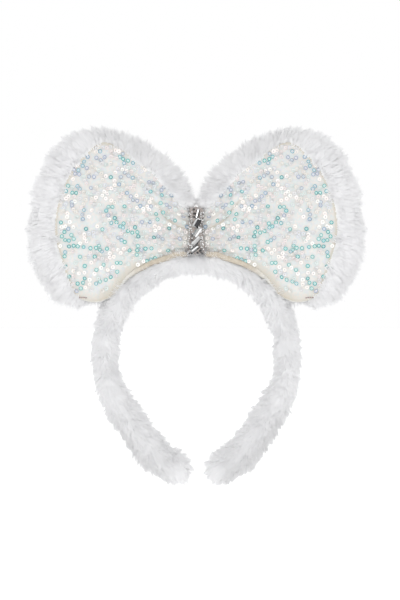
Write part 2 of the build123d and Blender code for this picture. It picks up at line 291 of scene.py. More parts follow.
def pile(root, normal, comb, length, rng, pull, lock_area, per_mm2):
    """Three-sided tapering tufts of plush, gathered in small locks: verts, tris."""
    count = len(root)
    locks = max(1, int(count / (lock_area * per_mm2 * FUR_SHARE)))
    heads = rng.choice(count, locks, replace=False)
    lock, apart = nearest(root, root[heads])
    sway = rng.normal(size=(locks, 3))
    lock_way = unit(normal[heads] + comb[heads] * rng.uniform(0.55, 1.1, (locks, 1)) + sway * 0.2)
    lock_tall = length[heads] * rng.uniform(0.72, 1.5, locks)
    lock_tip = root[heads] + lock_way * lock_tall[:, None]
    own = rng.normal(size=(count, 3))
    own_way = unit(normal + comb + own * STRAY)
    tall = length * rng.uniform(0.82, 1.05, count)
    share = (pull * np.exp(-((apart / LOCK_REACH) ** 2)))[:, None]
    tip = (root + own_way * tall[:, None]) * (1 - share) + lock_tip[lock] * share
    axis = unit(tip - root)
    side = unit(np.cross(axis, normal + own * 0.1))
    other = np.cross(axis, side)
    wide = BLADE_WIDE * rng.uniform(0.8, 1.25, (count, 1))
    feet = [root + (side * math.cos(a) + other * math.sin(a)) * wide for a in np.radians([90, 210, 330])]
    base = np.arange(count)[:, None] * 4
    tris = np.concatenate([base + [0, 1, 2], base + [0, 2, 3], base + [0, 3, 1]])
    return np.stack([tip, *feet], axis=1).reshape(-1, 3), tris


# ---------------- materials


def give_value(piece, name, values):
    attribute = piece.data.attributes.new(name, "FLOAT", "POINT")
    attribute.data.foreach_set("value", values.astype(np.float32))


def vertex_value(tree, name):
    made = tree.nodes.new("ShaderNodeAttribute")
    made.attribute_name = name
    return made.outputs["Fac"]


def feed(tree, made, *values, **named):
    """Gives a node's inputs, in order or by name, another node's output, a colour or a number."""
    pairs = [*zip(made.inputs, values)]
    pairs += [(made.inputs[key.replace("_", " ")], value) for key, value in named.items()]
    for socket, value in pairs:
        if isinstance(value, bpy.types.NodeSocket):
            tree.links.new(value, socket)
        elif value is not None:
            socket.default_value = (*value, 1.0) if isinstance(value, tuple) else value
    return made


def node(tree, kind, *values, **named):
    return feed(tree, tree.nodes.new(kind), *values, **named)


def node_material(name, **inputs):
    material = bpy.data.materials.new(name)
    material.use_nodes = True
    tree = material.node_tree
    return material, tree, feed(tree, tree.nodes["Principled BSDF"], **inputs)


def arithmetic(tree, kind, *values):
    made = tree.nodes.new("ShaderNodeMath")
    made.operation = kind
    return feed(tree, made, *values).outputs[0]


def ramp(tree, source, stops, smooth=True):
    made = node(tree, "ShaderNodeValToRGB", Fac=source)
    made.color_ramp.interpolation = "LINEAR" if smooth else "CONSTANT"
    stops = [(p, (*c, 1.0)) for p, c in stops]
    for position, colour in stops[1:-1]:
        made.color_ramp.elements.new(position).color = colour
    for end in (0, -1):
        made.color_ramp.elements[end].position, made.color_ramp.elements[end].color = stops[end]
    return made.outputs["Color"]


def banded(tree, source, colours):
    """One of the colours for each piece, in equal shares."""
    steps = [(i / len(colours), c) for i, c in enumerate(colours)]
    return ramp(tree, source, [*steps, (1.0, colours[-1])], smooth=False)


def mixed(tree, factor, first, second):
    """A mix of two colours; the node's first input is the factor and the seventh and eighth are colours."""
    made = tree.nodes.new("ShaderNodeMix")
    made.data_type = "RGBA"
    return feed(tree, made, factor, *[None] * 5, first, second).outputs[2]


def bump(tree, shader, height, strength, depth, after=None):
    made = node(tree, "ShaderNodeBump", Strength=strength, Distance=depth * MM, Height=height, Normal=after)
    feed(tree, shader, Normal=made.outputs["Normal"])
    return made.outputs["Normal"]


def object_place(tree):
    return tree.nodes.new("ShaderNodeTexCoord").outputs["Object"]


def noise(tree, cells_per_mm, detail=3.0, roughness=0.55):
    place = object_place(tree)
    scale = cells_per_mm / MM
    made = node(tree, "ShaderNodeTexNoise", Vector=place, Scale=scale, Detail=detail, Roughness=roughness)
    return made.outputs["Fac"]


def mottled(tree, cells_per_mm, dark, light, low=0.3):
    """A soft mottle between two colours."""
    return ramp(tree, noise(tree, cells_per_mm), [(low, dark), (1 - low, light)])


def woven(tree, shader, scale, strength, depth, normal):
    """Threads that run both ways across a cloth, on top of its grain."""
    for axis in ("X", "Z"):
        threads = node(tree, "ShaderNodeTexWave", Vector=object_place(tree), Scale=scale, Distortion=0.6)
        threads.bands_direction = axis
        normal = bump(tree, shader, threads.outputs["Fac"], strength, depth, normal)


def cloth(name, dark, light, grain=1.2, rough=0.85, depth=0.15, sheen=0.3, weave=0.0):
    """Matte fabric: mottled colour, a fine grain and, where asked, a woven thread pattern."""
    material, tree, shader = node_material(name, Roughness=rough, Sheen_Weight=sheen)
    feed(tree, shader, Base_Color=mottled(tree, 0.12, dark, light))
    feed(tree, shader, Sheen_Roughness=0.5, Specular_IOR_Level=0.25)
    normal = bump(tree, shader, noise(tree, grain, 4.0), 0.6, depth)
    if weave:
        woven(tree, shader, 0.5 / (weave * MM), 0.5, depth, normal)
    return material


def moulded(name, cells_per_mm, dark, light, rough, grain, strength, depth):
    """Plain moulded plastic or rubber."""
    material, tree, shader = node_material(name, Roughness=rough)
    feed(tree, shader, Base_Color=mottled(tree, cells_per_mm, dark, light))
    bump(tree, shader, noise(tree, grain), strength, depth)
    return material


def plush_material(name, dark, light):
    """Pile: each tuft blade takes its own shade of white."""
    material, tree, shader = node_material(name, Roughness=0.8, Sheen_Weight=0.25, Sheen_Roughness=0.6)
    island = tree.nodes.new("ShaderNodeNewGeometry")
    own = ramp(tree, island.outputs["Random Per Island"], [(0.0, dark), (1.0, light)])
    # each blade's own shade of white is scaled by painted shade and light held in a point attribute
    with_painted_shade = tree.nodes.new("ShaderNodeVectorMath")
    with_painted_shade.operation = "SCALE"
    feed(tree, with_painted_shade, own, Scale=vertex_value(tree, "painted_shade"))
    feed(tree, shader, Base_Color=with_painted_shade.outputs[0], Specular_IOR_Level=0.2)
    return material


plush = plush_material("plush_pile", (0.90, 0.90, 0.905), (0.94, 0.94, 0.945))
underfur = cloth("plush_ground", (0.85, 0.85, 0.855), (0.90, 0.90, 0.905), grain=1.0, depth=0.5, sheen=0.2)
felt = cloth("felt", (0.70, 0.69, 0.67), (0.82, 0.81, 0.79), grain=2.5, depth=0.2)
thread = cloth("stitch_thread", (0.78, 0.77, 0.75), (0.90, 0.89, 0.87), grain=5.0, depth=0.1)


def fur_object(name, blades, mirrored, painted_shade):
    """A pile of blades; the given function paints shade and light on each of their points, as a factor on the
    blade colour.
    """
    verts, tris = blades
    piece = mesh_object(name, verts, (), plush, mirrored, tris, smooth=False)
    give_value(piece, "painted_shade", painted_shade(verts))
    return piece


def no_painted_shade(verts):
    return np.ones(len(verts))


def band_painted_shade(verts):
    """Painted shade on the band's pile: darker under the ears, where they shadow it, and along the tails'
    lower edge.
    """
    x, z = verts[:, 0], verts[:, 2]
    out = x - np.interp(z, line_place[::-1, 1], line_place[::-1, 0])
    tail_edge_shade = smoothstep(out, 3, 13) * smoothstep(z, -80, -118)
    return 1 - 0.012 * smoothstep(z, -25, -5) - 0.075 * tail_edge_shade


def ear_painted_shade(verts):
    """Painted shade and light on the ear's pile: darker along its top, at the lower outer edge and round the
    outline, a little lighter inside the outline on the ear's outer part.
    """
    x, z = verts[:, 0], verts[:, 2]
    edge = edge_distance(verts[:, [0, 2]], fur_outline)
    above = smoothstep(edge, 16, 8) * smoothstep(x, 84, 68) * smoothstep(z, 44, 60)
    low = smoothstep(edge, 12, 3) * smoothstep(z, 12, -6) * smoothstep(x, 66, 82)
    middle = smoothstep(edge, 7, 13) * smoothstep(x, 70, 84)
    return 1 - 0.05 * above - 0.04 * low - 0.02 * smoothstep(edge, 7, 1) * (1 - above) + 0.02 * middle


# ---------------- camera, light and floor

scene = bpy.context.scene
scene.view_settings.view_transform = "Standard"
scene.view_settings.look = "None"

WORLD_SIDE, WORLD_FACE, WORLD_DROP = 0.84, 1.34, 0.13
FRAME_TALL = 0.432
DISTANCE = 3.0
camera = bpy.data.objects.new("camera", bpy.data.cameras.new("camera"))
scene.collection.objects.link(camera)
camera.location = (0.0027, -DISTANCE, -0.0212)
camera.rotation_euler = (math.radians(90), 0, 0)
camera.data.sensor_width = 36.0
camera.data.lens = 36.0 * DISTANCE / FRAME_TALL
camera.data.clip_start, camera.data.clip_end = 0.1, 60.0
scene.camera = camera

world = bpy.data.worlds.new("studio")
world.use_nodes = True
tree = world.node_tree
way = tree.nodes.new("ShaderNodeTexCoord")
split = node(tree, "ShaderNodeSeparateXYZ", way.outputs["Generated"])
facing = arithmetic(tree, "MULTIPLY", split.outputs["Y"], split.outputs["Y"])
level = arithmetic(tree, "MULTIPLY_ADD", facing, WORLD_FACE - WORLD_SIDE, WORLD_SIDE)
level = arithmetic(tree, "MULTIPLY_ADD", split.outputs["Z"], -WORLD_DROP, level)
lit = feed(tree, tree.nodes["Background"], Color=WHITE, Strength=level)
seen = node(tree, "ShaderNodeBackground", Color=WHITE, Strength=1.0)
path = tree.nodes.new("ShaderNodeLightPath").outputs["Is Camera Ray"]
either = node(tree, "ShaderNodeMixShader", path, lit.outputs[0], seen.outputs[0])
feed(tree, tree.nodes["World Output"], Surface=either.outputs[0])
scene.world = world
scene.cycles.diffuse_bounces = 12


def softbox(name, place, target, size, power):
    light = bpy.data.lights.new(name, "AREA")
    light.shape, light.size, light.energy = "DISK", size, power
    lamp = bpy.data.objects.new(name, light)
    scene.collection.objects.link(lamp)
    lamp.location = place
    lamp.rotation_euler = (Vector(target) - Vector(place)).to_track_quat("-Z", "Y").to_euler()


softbox("key", (-0.3, -2.6, 0.5), (0, 0, 0), 1.0, 8.0)
softbox("back", (0.3, 2.6, 0.5), (0, 0, 0), 1.0, 8.0)

FLOOR_SIDES = 96
FLOOR_RINGS = (0.02, 0.5, 2.0, 8.0, 30.0)
FLOOR_DROP = 105.0
turn = circle(FLOOR_SIDES)
floor_verts = [beside(np.cos(turn) * r, np.sin(turn) * r, 0 * turn) for r in FLOOR_RINGS]
floor_verts = np.vstack([*floor_verts, [[0, 0, 0]]]) / MM
floor_verts[:, 2] = cad_low.z / MM - FLOOR_DROP
floor_quads = grid_quads(len(FLOOR_RINGS), FLOOR_SIDES, closed_columns=True)[:, ::-1]
floor_cap = [[i, (i + 1) % FLOOR_SIDES, len(floor_verts) - 1] for i in range(FLOOR_SIDES)]
floor_material, tree, shader = node_material("studio_floor", Roughness=0.7, Emission_Color=WHITE)
feed(tree, shader, Base_Color=mottled(tree, 0.002, (0.90, 0.90, 0.90), (0.93, 0.93, 0.93)))
feed(tree, shader, Emission_Strength=0.35)
floor = mesh_object("studio_floor", floor_verts, floor_quads, floor_material, tris=floor_cap)

# ---------------- band

SKIN_HALF_THICK = SLEEVE_HALF_THICK - 3.1
SKIN_HALF_DEEP = SLEEVE_HALF_DEEP - 3.6
BAND_RUN = HOOP_RADIUS * ARC_END + TAIL
TAIL_TOP_Z = HOOP_Z + HOOP_RADIUS * math.cos(ARC_END)
TAIL_WAY = np.array([math.cos(ARC_END), 0, -math.sin(ARC_END)])
CROWN_OVERLAP = 7.0
TIP = 11.0
# tufts to a square millimetre, and a lock's area
BAND_TUFTS = 3.4
BAND_LOCK = 12.0

# the middle line: an arc, then a tail that bends inwards at its tip
line_run = np.linspace(-20, BAND_RUN, 1200)
line_angle = ARC_END - EASE * np.logaddexp(0, (ARC_END - line_run / HOOP_RADIUS) / EASE)
line_angle += math.radians(29) * smoothstep(line_run, BAND_RUN - 34, BAND_RUN)
line_step = beside(np.cos(line_angle), -np.sin(line_angle)) * (line_run[1] - line_run[0])
line_place = np.cumsum(line_step, axis=0)
line_place += [0, HOOP_Z + HOOP_RADIUS] - read_off(0, line_run, line_place)


def band_point(run, turn):
    """Point on the band's skin: run mm from the crown, turn radians from the outside to the front."""
    angle = np.interp(run, line_run, line_angle)
    outward = beside(np.sin(angle), 0 * angle, np.cos(angle))
    x, z = read_off(run, line_run, line_place).T
    inward = 0.9 * smoothstep(run, 50, 75) * smoothstep(run, 140, 105)
    centre = beside(x, 0 * run, z) - outward * inward[:, None]
    thick = SKIN_HALF_THICK + 2.1 * smoothstep(run, BAND_RUN - 100, BAND_RUN - 40)
    thick = thick + 0.9 * smoothstep(run, 8, 24) * smoothstep(run, 82, 66)
    deep = SKIN_HALF_DEEP - 2.2 * smoothstep(run, BAND_RUN - TAIL, BAND_RUN)
    end = np.clip((run - (BAND_RUN - TIP)) / TIP, 0, 1)
    close = np.sqrt(np.maximum(1 - end**2, 0)) * 0.985 + 0.015
    front = np.array([0, -1.0, 0])
    across = outward * (np.cos(turn) * thick * close)[:, None]
    return centre + across + front * (np.sin(turn) * deep * close)[:, None]


def band_skin(start):
    """Skin of the right-hand half from a run of start mm to the rounded tip: verts, quads."""
    columns = 40
    tip = BAND_RUN - TIP * (1 - np.sin(np.linspace(0, np.pi / 2, 21)[1:]))
    run = np.concatenate([np.linspace(start, BAND_RUN - TIP, 170), tip])
    around = circle(columns)
    rr, tt = np.meshgrid(run, around, indexing="ij")
    verts = band_point(rr.ravel(), tt.ravel())
    quads = grid_quads(len(run), columns, closed_columns=True)
    even = np.abs(verts) * [1, 0, 0] + verts * [0, 1, 1]
    swell = waves(even, 22.0, 11) * 0.45 * smoothstep(even[:, 0], 0, 12)
    return verts + surface_normals(verts, quads) * swell[:, None], quads


def hung(verts, side):
    """The arms hang a little to the right: the same small shift on both, growing to the tips."""
    moved = np.array(verts)
    moved[:, 0] += side * HANG * smoothstep(-moved[:, 2], 50, 140)
    return moved


def band_half(side_name, side):
    verts, quads = band_skin(0.0)
    skin = mesh_object(f"band_skin_{side_name}", hung(verts, side), quads, underfur, side < 0)
    rng = np.random.default_rng(21 + (side < 0))
    verts, quads = band_skin(-CROWN_OVERLAP)
    root, normal = scatter(verts, quads, np.ones(len(quads), bool), BAND_TUFTS, rng)
    x, z = root[:, 0], root[:, 2]
    ahead = unit(beside(z - HOOP_Z, 0 * x, -x))
    late = smoothstep(z, TAIL_TOP_Z + 12, TAIL_TOP_Z - 12)[:, None]
    ahead = unit(ahead * (1 - late) + TAIL_WAY * late)
    parted = smoothstep(x, 18, 2)[:, None]
    ahead = ahead * (1 - parted) + np.array([0, 0, -0.8]) * parted
    comb = ahead * (0.9 + waves(root, 24.0, 5) * 0.14)[:, None]
    comb = comb + waves(root, 20.0, 6)[:, None] * np.array([0, 0.22, 0])
    outward = unit(beside(x, 0 * x, z - HOOP_Z))
    brow = smoothstep((outward * normal).sum(1), 0.15, 0.7) * smoothstep(-normal[:, 1], 0.1, 0.6)
    shoulder = 0.8 * smoothstep(x, 40, 50) * smoothstep(z, -34, -24)
    brow = brow * np.maximum(smoothstep(x, 19, 10), shoulder)
    comb = comb * (1 - 0.6 * brow)[:, None] + outward * (0.1 * brow)[:, None]
    comb = laid(comb, normal)
    length = 6.8 + waves(root, 16.0, 9) * 0.5 + 0.9 * brow
    length = length * (1 - 0.13 * smoothstep(z, -12, -32) * smoothstep(z, -112, -86))
    pull = 0.22 + 0.5 * smoothstep(np.abs(normal[:, 1]), 0.8, 0.3)
    verts, tris = pile(root, normal, comb, length, rng, pull, BAND_LOCK, BAND_TUFTS)
    fur = fur_object(f"band_fur_{side_name}", (hung(verts, side), tris), side < 0, band_painted_shade)
    return skin, fur


for side_name, side in SIDES:
    skin, fur = band_half(side_name, side)
    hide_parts(f"band_sleeve_{side_name}", f"band_wadding_{side_name}")
    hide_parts(f"band_sleeve_{side_name}")
    if side > 0:
        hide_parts("band_sleeve_crown", "band_wadding_crown")
    for piece in (skin, fur):
        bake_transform(piece)

# ---------------- ears: outline and skin

EAR_EDGE = [
    (4.0, 46.5), (1.4, 51.5), (3.6, 58.5), (8.8, 67.0), (18.0, 78.0), (34.6, 89.6), (57.0, 99.5),
    (70.0, 102.0), (84.0, 99.8), (96.0, 93.5), (108.0, 77.5), (115.5, 60.0), (119.2, 39.0),
    (120.3, 18.5), (116.6, 2.8), (111.2, -9.8), (102.2, -20.4), (86.0, -27.2), (74.0, -23.8), (66.5, -18.8),
]
WINDOW_BOTTOM = [
    (6.0, 12.4), (15.6, 11.0), (23.4, 8.4), (31.9, 5.4), (37.0, 3.4), (42.7, 0.2), (47.0, -2.8),
    (51.0, -6.8), (54.5, -11.0), (58.8, -17.0), (65.0, -20.4), (72.0, -22.2), (80.0, -21.2), (87.0, -17.6),
]
WINDOW_OUTER = [
    (87.0, -17.6), (91.5, -8.0), (96.5, 8.0), (100.3, 22.0), (101.0, 34.0),
    (98.8, 48.0), (90.8, 68.5), (81.5, 81.0), (74.0, 88.5),
]
WINDOW_TOP = [
    (6.0, 43.0), (12.5, 49.0), (19.5, 59.2), (27.0, 67.0), (36.2, 73.6),
    (47.0, 82.0), (58.0, 89.4), (66.5, 91.8), (74.0, 88.5),
]
CREASE = [
    (3.0, 29.0), (9.4, 30.3), (15.1, 32.8), (19.9, 36.6),
    (23.8, 41.2), (27.6, 45.8), (32.6, 52.2), (36.5, 58.0),
]
BARE_MARGIN = 6.0
PILE_HIGH = 4.3
BASE_RADIUS = HOOP_RADIUS + SLEEVE_HALF_THICK + 1.4
MOUTH_X = 5.6

base_angles = np.radians(np.linspace(8.0, 59.0, 90))
base = beside(BASE_RADIUS * np.sin(base_angles), HOOP_Z + BASE_RADIUS * np.cos(base_angles))
mouth = beside(np.full(30, MOUTH_X), np.linspace(45.0, base[0, 1] + 1, 30))
fur_outline = np.vstack([base, through(EAR_EDGE[::-1], 260), mouth])
run = run_along(fur_outline)
fur_outline = read_off(np.linspace(0, run[-1], 420, endpoint=False), run, fur_outline)
inset = PILE_HIGH * smoothstep(np.hypot(*(fur_outline - GATHER).T), 12, 30)
inset = np.where(from_hoop(fur_outline) < BASE_RADIUS + 1.0, inset * 0.35, inset)
for _ in range(12):
    inset = (np.roll(inset, 1) + inset + np.roll(inset, -1)) / 3
skin_outline = drawn_in(fur_outline, inset[:, None])

bottom_line = through(WINDOW_BOTTOM, 140)
outer_line = through(WINDOW_OUTER, 120)
top_line = through(WINDOW_TOP, 140)
mouth_line = through([(6.0, 12.4), (4.2, 28.0), (6.0, 43.0)], 60)
window = np.vstack([bottom_line, outer_line[1:], top_line[::-1][1:], mouth_line[::-1][1:-1]])
crease_line = through(CREASE, 90)

EAR_SWELL = 9.8
NET_SWELL = 10.4
BACK_SHARE = 0.92
HOLLOW = 3.2


def dome_drop(x, z):
    """How far the ear's shallow dome has fallen at a point of the front view."""
    return ((x - EAR_CENTRE[0]) ** 2 + (z - EAR_CENTRE[1]) ** 2) / 720


def ear_half_deep(x, z, edge):
    """Half the ear's depth: a shallow dome, rounded at its edge and pinched at the knot."""
    pinch = 0.8 + 0.2 * smoothstep(x, 6, 32)
    rounded = np.sqrt(np.maximum(1 - (1 - np.clip(edge / 9.0, 0, 1)) ** 2, 0))
    return (EAR_SWELL - dome_drop(x, z)) * pinch * rounded


def ear_skin():
    """Closed pillow: rings of the outline drawn to the ear's middle, front and back."""
    shares = np.sin(np.linspace(0, np.pi / 2, 26)[:-1]) ** 1.6
    shares = np.concatenate([[0.0, 0.004, 0.012], shares[2:]])
    rows, around = len(shares), len(skin_outline)
    flat = np.vstack([skin_outline + (EAR_CENTRE - skin_outline) * s for s in shares])
    edge = edge_distance(flat, skin_outline)
    edge[:around] = 0
    x, z = flat.T
    half = ear_half_deep(x, z, edge)
    hollow = np.where(inside(flat, window), HOLLOW * smoothstep(edge_distance(flat, window), 0.5, 8.0), 0)
    front = beside(x, EAR_Y - np.maximum(half - hollow, half * 0.3), z)
    back = beside(x, EAR_Y + half * BACK_SHARE, z)[around:]
    (x, z), deepest = EAR_CENTRE, ear_half_deep(*EAR_CENTRE, 40.0)
    verts = np.vstack([front, back, [[x, EAR_Y - deepest + HOLLOW, z], [x, EAR_Y + deepest * BACK_SHARE, z]]])

    quads_front = grid_quads(rows, around, closed_columns=True)
    index = np.arange(rows * around).reshape(rows, around)
    back_index = np.vstack([index[:1], index[1:] - around + rows * around])
    quads_back = back_index.ravel()[quads_front[:, [0, 3, 2, 1]]]
    count = np.full(around, len(verts))
    tris_front = beside(index[-1], np.roll(index[-1], -1), count - 2)
    tris_back = beside(np.roll(back_index[-1], -1), back_index[-1], count - 1)
    return verts, quads_front, quads_back, np.vstack([tris_front, tris_back])


ear_verts, front_quads, back_quads, ear_tris = ear_skin()
ear_quads = np.vstack([front_quads, back_quads])


def crease_offset(x, z):
    """How far above the fold line a point of the front view lies, and how strong the fold is there."""
    p = beside(np.ravel(x), np.ravel(z))
    station = nearest(p, crease_line)[0]
    ahead = np.gradient(crease_line, axis=0)[station]
    gap = p - crease_line[station]
    signed = (ahead[:, 0] * gap[:, 1] - ahead[:, 1] * gap[:, 0]) / np.linalg.norm(ahead, axis=1)
    share = station / (len(crease_line) - 1)
    beyond = np.linalg.norm(gap, axis=1) - np.abs(signed)
    strong = smoothstep(share, 0.0, 0.15) * smoothstep(share, 1.0, 0.55) * np.exp(-beyond / 3.0)
    return signed.reshape(np.shape(x)), strong.reshape(np.shape(x))


def net_point(u, v):
    """The net's resting shape: u runs from the knot outwards and v from the hem upwards."""

    def along(line, t):
        return read_off(np.clip(t, 0, 1) * (len(line) - 1), np.arange(len(line)), line)

    bottom, top = along(bottom_line, u), along(top_line, u)
    inner, outer = along(mouth_line, v), along(outer_line, v)
    c00, c10, c01, c11 = bottom_line[0], bottom_line[-1], top_line[0], top_line[-1]
    uu, vv = u[..., None], v[..., None]
    flat = (1 - vv) * bottom + vv * top + (1 - uu) * inner + uu * outer
    flat = flat - ((1 - uu) * (1 - vv) * c00 + uu * (1 - vv) * c10 + (1 - uu) * vv * c01 + uu * vv * c11)
    x, z = flat[..., 0], flat[..., 1]
    dome = (NET_SWELL - dome_drop(x, z)) * (0.76 + 0.24 * smoothstep(x, 6, 32))
    rolled = (1 - smoothstep(v, 0.0, 0.14)) * smoothstep(x, 4, 18) * smoothstep(x, 76, 58)
    reach = np.hypot(x - NET_GATHER[0], z - NET_GATHER[1])
    wander = 0.35 * np.sin(reach / 17.0 + 1.0) + 0.2 * np.sin(reach / 9.0 + v * 5)
    fade = np.exp(-((reach / 27.0) ** 1.4))
    pleats = np.sin((v + wander * 0.12 * reach / 60) * 2 * np.pi * 7.5 + 0.6) * (1.15 - 0.65 * v) * fade
    pleats += np.sin((v * 2 * np.pi * 3.3) + reach / 24 + 2.0) * 0.8 * np.exp(-(((reach - 40) / 30.0) ** 2))
    p = beside(x, 0 * x, z).reshape(-1, 3)
    ripple = waves(p, 24.0, 31, 3).reshape(x.shape) * 0.5 * smoothstep(reach, 20, 50)
    near_edge = np.minimum(np.minimum(1 - u, 0.06 + v), 1 - v) / 0.06
    ripple = ripple * np.clip(near_edge, 0.2, 1)
    off, along_crease = crease_offset(x, z)
    fold = 1.5 * np.exp(-np.maximum(off, 0) / 6.0) * smoothstep(off, -0.5, 0.5) * along_crease
    y = EAR_Y - dome + rolled * 0.6 - pleats * smoothstep(reach, 2, 12) - ripple - fold
    return beside(x, y, z)


NET_U, NET_V = 190, 170
uu, vv = np.meshgrid(np.linspace(0, 1, NET_U), np.linspace(0, 1, NET_V), indexing="ij")
net_verts = net_point(uu, vv).reshape(-1, 3)
net_quads = grid_quads(NET_U, NET_V)


def net_frame(u, v):
    """Place, outward normal and the way away from the knot, on the net."""
    step = 0.004
    u, v = np.atleast_1d(u).astype(float), np.atleast_1d(v).astype(float)
    place = net_point(u, v)
    du = net_point(np.minimum(u + step, 1), v) - net_point(np.maximum(u - step, 0), v)
    dv = net_point(u, np.minimum(v + step, 1)) - net_point(u, np.maximum(v - step, 0))
    normal = unit(np.cross(du, dv))
    normal = normal * np.where(normal[:, 1:2] > 0, -1, 1)
    return place, normal, unit(du)


# ---------------- sequins

# the coloured ones that show most, each at its own x and z on the right-hand ear
SET_BY_HAND = {
    "teal": """
61.0 66.6  92.0 60.2  93.0 57.0  88.8 55.2  85.9 55.6  32.6 56.2  25.0 53.9  25.4 48.2
64.3 42.6  62.9 45.2  60.0 45.4  58.1 37.1  57.1 34.2  61.0 33.8  52.3 33.8  52.1 30.8  49.2 28.2
46.2 27.2  43.6 30.6  42.0 27.6  41.3 24.1  54.5 31.6  29.0 40.0  15.3 35.6  19.7 29.9  51.3 20.2
47.7 14.0  42.0 17.6  42.3 14.6  42.6 11.4  36.2 15.5  32.4 15.6  20.4 14.6  96.7 34.2  96.2 24.2
93.8 22.0  90.9 21.7  87.6 22.6  89.4 25.4  94.4 27.4  90.9 17.4  87.9 17.2  84.8 16.9  80.7 16.8
75.8 16.3  71.6 16.0  69.0 14.6  69.3 17.6  64.0 15.8  72.9 10.0  83.6 10.0  94.0 9.8  96.0 1.8
79.5 3.4  71.4 0.5  57.0 5.6  54.4 5.2  57.0 -0.8  61.6 -4.6  65.2 -6.5  68.7 -8.0  72.1 -9.1
84.6 -9.6  81.2 -8.6  79.6 -5.4  82.4 -13.2  91.0 -4.6  78.9 30.0  66.4 4.2  23.6 41.6  27.6 36.6""",
    "lilac": """
68.9 85.6  71.5 80.4  68.6 79.0  65.6 81.2  78.0 81.2  80.2 77.6  81.2 74.6  87.4 71.8  84.4 71.8
86.6 69.0  83.8 68.8  85.2 60.2  75.2 58.7  76.5 66.9  73.4 66.9  51.3 69.6  48.4 67.4  54.2 67.0
45.6 66.2  52.8 83.2  51.3 77.0  45.2 76.6  89.2 49.4  89.2 46.4  80.0 42.9  81.2 40.0  80.9 36.6
47.0 53.0  45.4 50.4  42.2 49.8  49.4 55.4  38.7 34.6  32.6 45.7  33.4 34.9  27.3 24.1  24.2 22.2
93.7 12.8  85.7 -14.8  62.9 38.8  40.0 46.0  67.8 13.4  55.0 61.4""",
    "pearl": """
57.8 86.0  54.9 85.8  52.8 72.5  49.6 71.0  36.5 72.4  85.2 74.8  88.2 65.4  93.2 51.0  43.0 53.6
34.0 43.4  27.0 30.4  30.0 31.6  12.4 40.7  12.4 29.9  7.6 27.4  93.6 31.2  90.9 34.9  96.2 30.8
74.4 42.8  56.2 14.8  51.8 15.2  54.0 12.2  42.0 4.2  37.6 6.8  26.2 14.6  76.4 -6.4  76.2 -9.8
72.9 -2.5  67.9 1.8  59.4 2.4  63.4 0.2  83.7 -2.4  82.9 19.4  79.2 -12.2  92.4 38.4  88.2 31.0
61.2 49.8  64.8 51.6  60.6 58.8  88.0 -0.4  75.0 5.2  70.6 31.6  97.2 17.6  58.0 69.6  80.4 -1.6""",
}


ROOM = 2.3
SPRINKLED = {"clear": 0.80, "pearl": 0.10, "lilac": 0.05, "teal": 0.05}
SEQUIN_RADIUS = 1.52
SEQUIN_SIDES = 12


def sequin_places(rng):
    """Places (u, v) and kinds: the listed ones first, then short crooked rows between them."""
    u, v = np.meshgrid(np.linspace(0.02, 0.985, 150), np.linspace(0.02, 0.98, 140), indexing="ij")
    table = net_point(u, v).reshape(-1, 3)[:, [0, 2]]
    placed, kinds = [], []
    for name, written in SET_BY_HAND.items():
        points = np.array(written.split(), float).reshape(-1, 2)
        placed += list(points)
        kinds += [name] * len(points)

    def room_for(p):
        near = min((p[0] - q[0]) ** 2 + (p[1] - q[1]) ** 2 for q in placed)
        foot = np.min(np.hypot(bottom_line[:, 0] - p[0], bottom_line[:, 1] - p[1]))
        edge = np.min(np.hypot(window[:, 0] - p[0], window[:, 1] - p[1]))
        bare = BARE_MARGIN * smoothstep(p[0], 36, 50)
        return near > ROOM**2 and edge > 1.9 and foot > bare and inside(p[None], window)[0]

    for _ in range(620):
        spot = table[rng.integers(len(table))]
        heading = rng.uniform(0, 2 * np.pi)
        name = rng.choice(list(SPRINKLED), p=list(SPRINKLED.values()))
        for _ in range(rng.integers(1, 6)):
            if not room_for(spot):
                break
            placed.append(spot)
            kinds.append(name)
            heading += rng.normal() * 0.6
            spot = spot + rng.uniform(2.6, 3.4) * np.array([np.cos(heading), np.sin(heading)])
    station = nearest(np.array(placed), table)[0]
    return beside(u.ravel(), v.ravel())[station], np.array(kinds)


def sequin_mesh(place, normal, along, rng):
    """Cupped discs with a centre hole: verts, quads, and how far out each vertex is, of the radius."""
    count = len(place)
    tilt = rng.normal(size=(count, 3)) * 0.16
    axis = unit(normal + tilt)
    first = unit(laid(along, axis))
    second = np.cross(axis, first)
    turn = circle(SEQUIN_SIDES)
    # radius and height of each ring, from the hole out over the cupped face and back underneath
    profile = [(0.42, -0.10), (0.95, -0.02), (1.34, 0.20), (SEQUIN_RADIUS, 0.24)]
    profile += [(1.50, 0.14), (1.32, 0.08), (0.95, -0.14), (0.42, -0.22)]
    size = rng.uniform(0.94, 1.04, (count, 1, 1))
    ring = first[:, None] * np.cos(turn)[None, :, None] + second[:, None] * np.sin(turn)[None, :, None]
    rings = [place[:, None] + (ring * radius + axis[:, None] * lift) * size for radius, lift in profile]
    reach = [np.full((count, SEQUIN_SIDES), radius) for radius, lift in profile]
    verts, reach = np.concatenate(rings, axis=1), np.concatenate(reach, axis=1)
    pattern = grid_quads(len(profile), SEQUIN_SIDES, closed_rows=True, closed_columns=True)
    quads = (np.arange(count)[:, None, None] * (len(profile) * SEQUIN_SIDES) + pattern[None]).reshape(-1, 4)
    return verts.reshape(-1, 3), quads, reach.ravel() / SEQUIN_RADIUS


# ---------------- ear materials

hem_material, tree, shader = node_material("hem_binding", Roughness=0.8, Sheen_Weight=0.25)
tan = mottled(tree, 0.35, (0.48, 0.42, 0.335), (0.59, 0.53, 0.44), 0.35)
cream = mottled(tree, 0.35, (0.62, 0.61, 0.57), (0.70, 0.69, 0.65), 0.35)
feed(tree, shader, Base_Color=mixed(tree, vertex_value(tree, "warmth"), cream, tan))
bump(tree, shader, noise(tree, 2.4, 4.0), 0.5, 0.12)
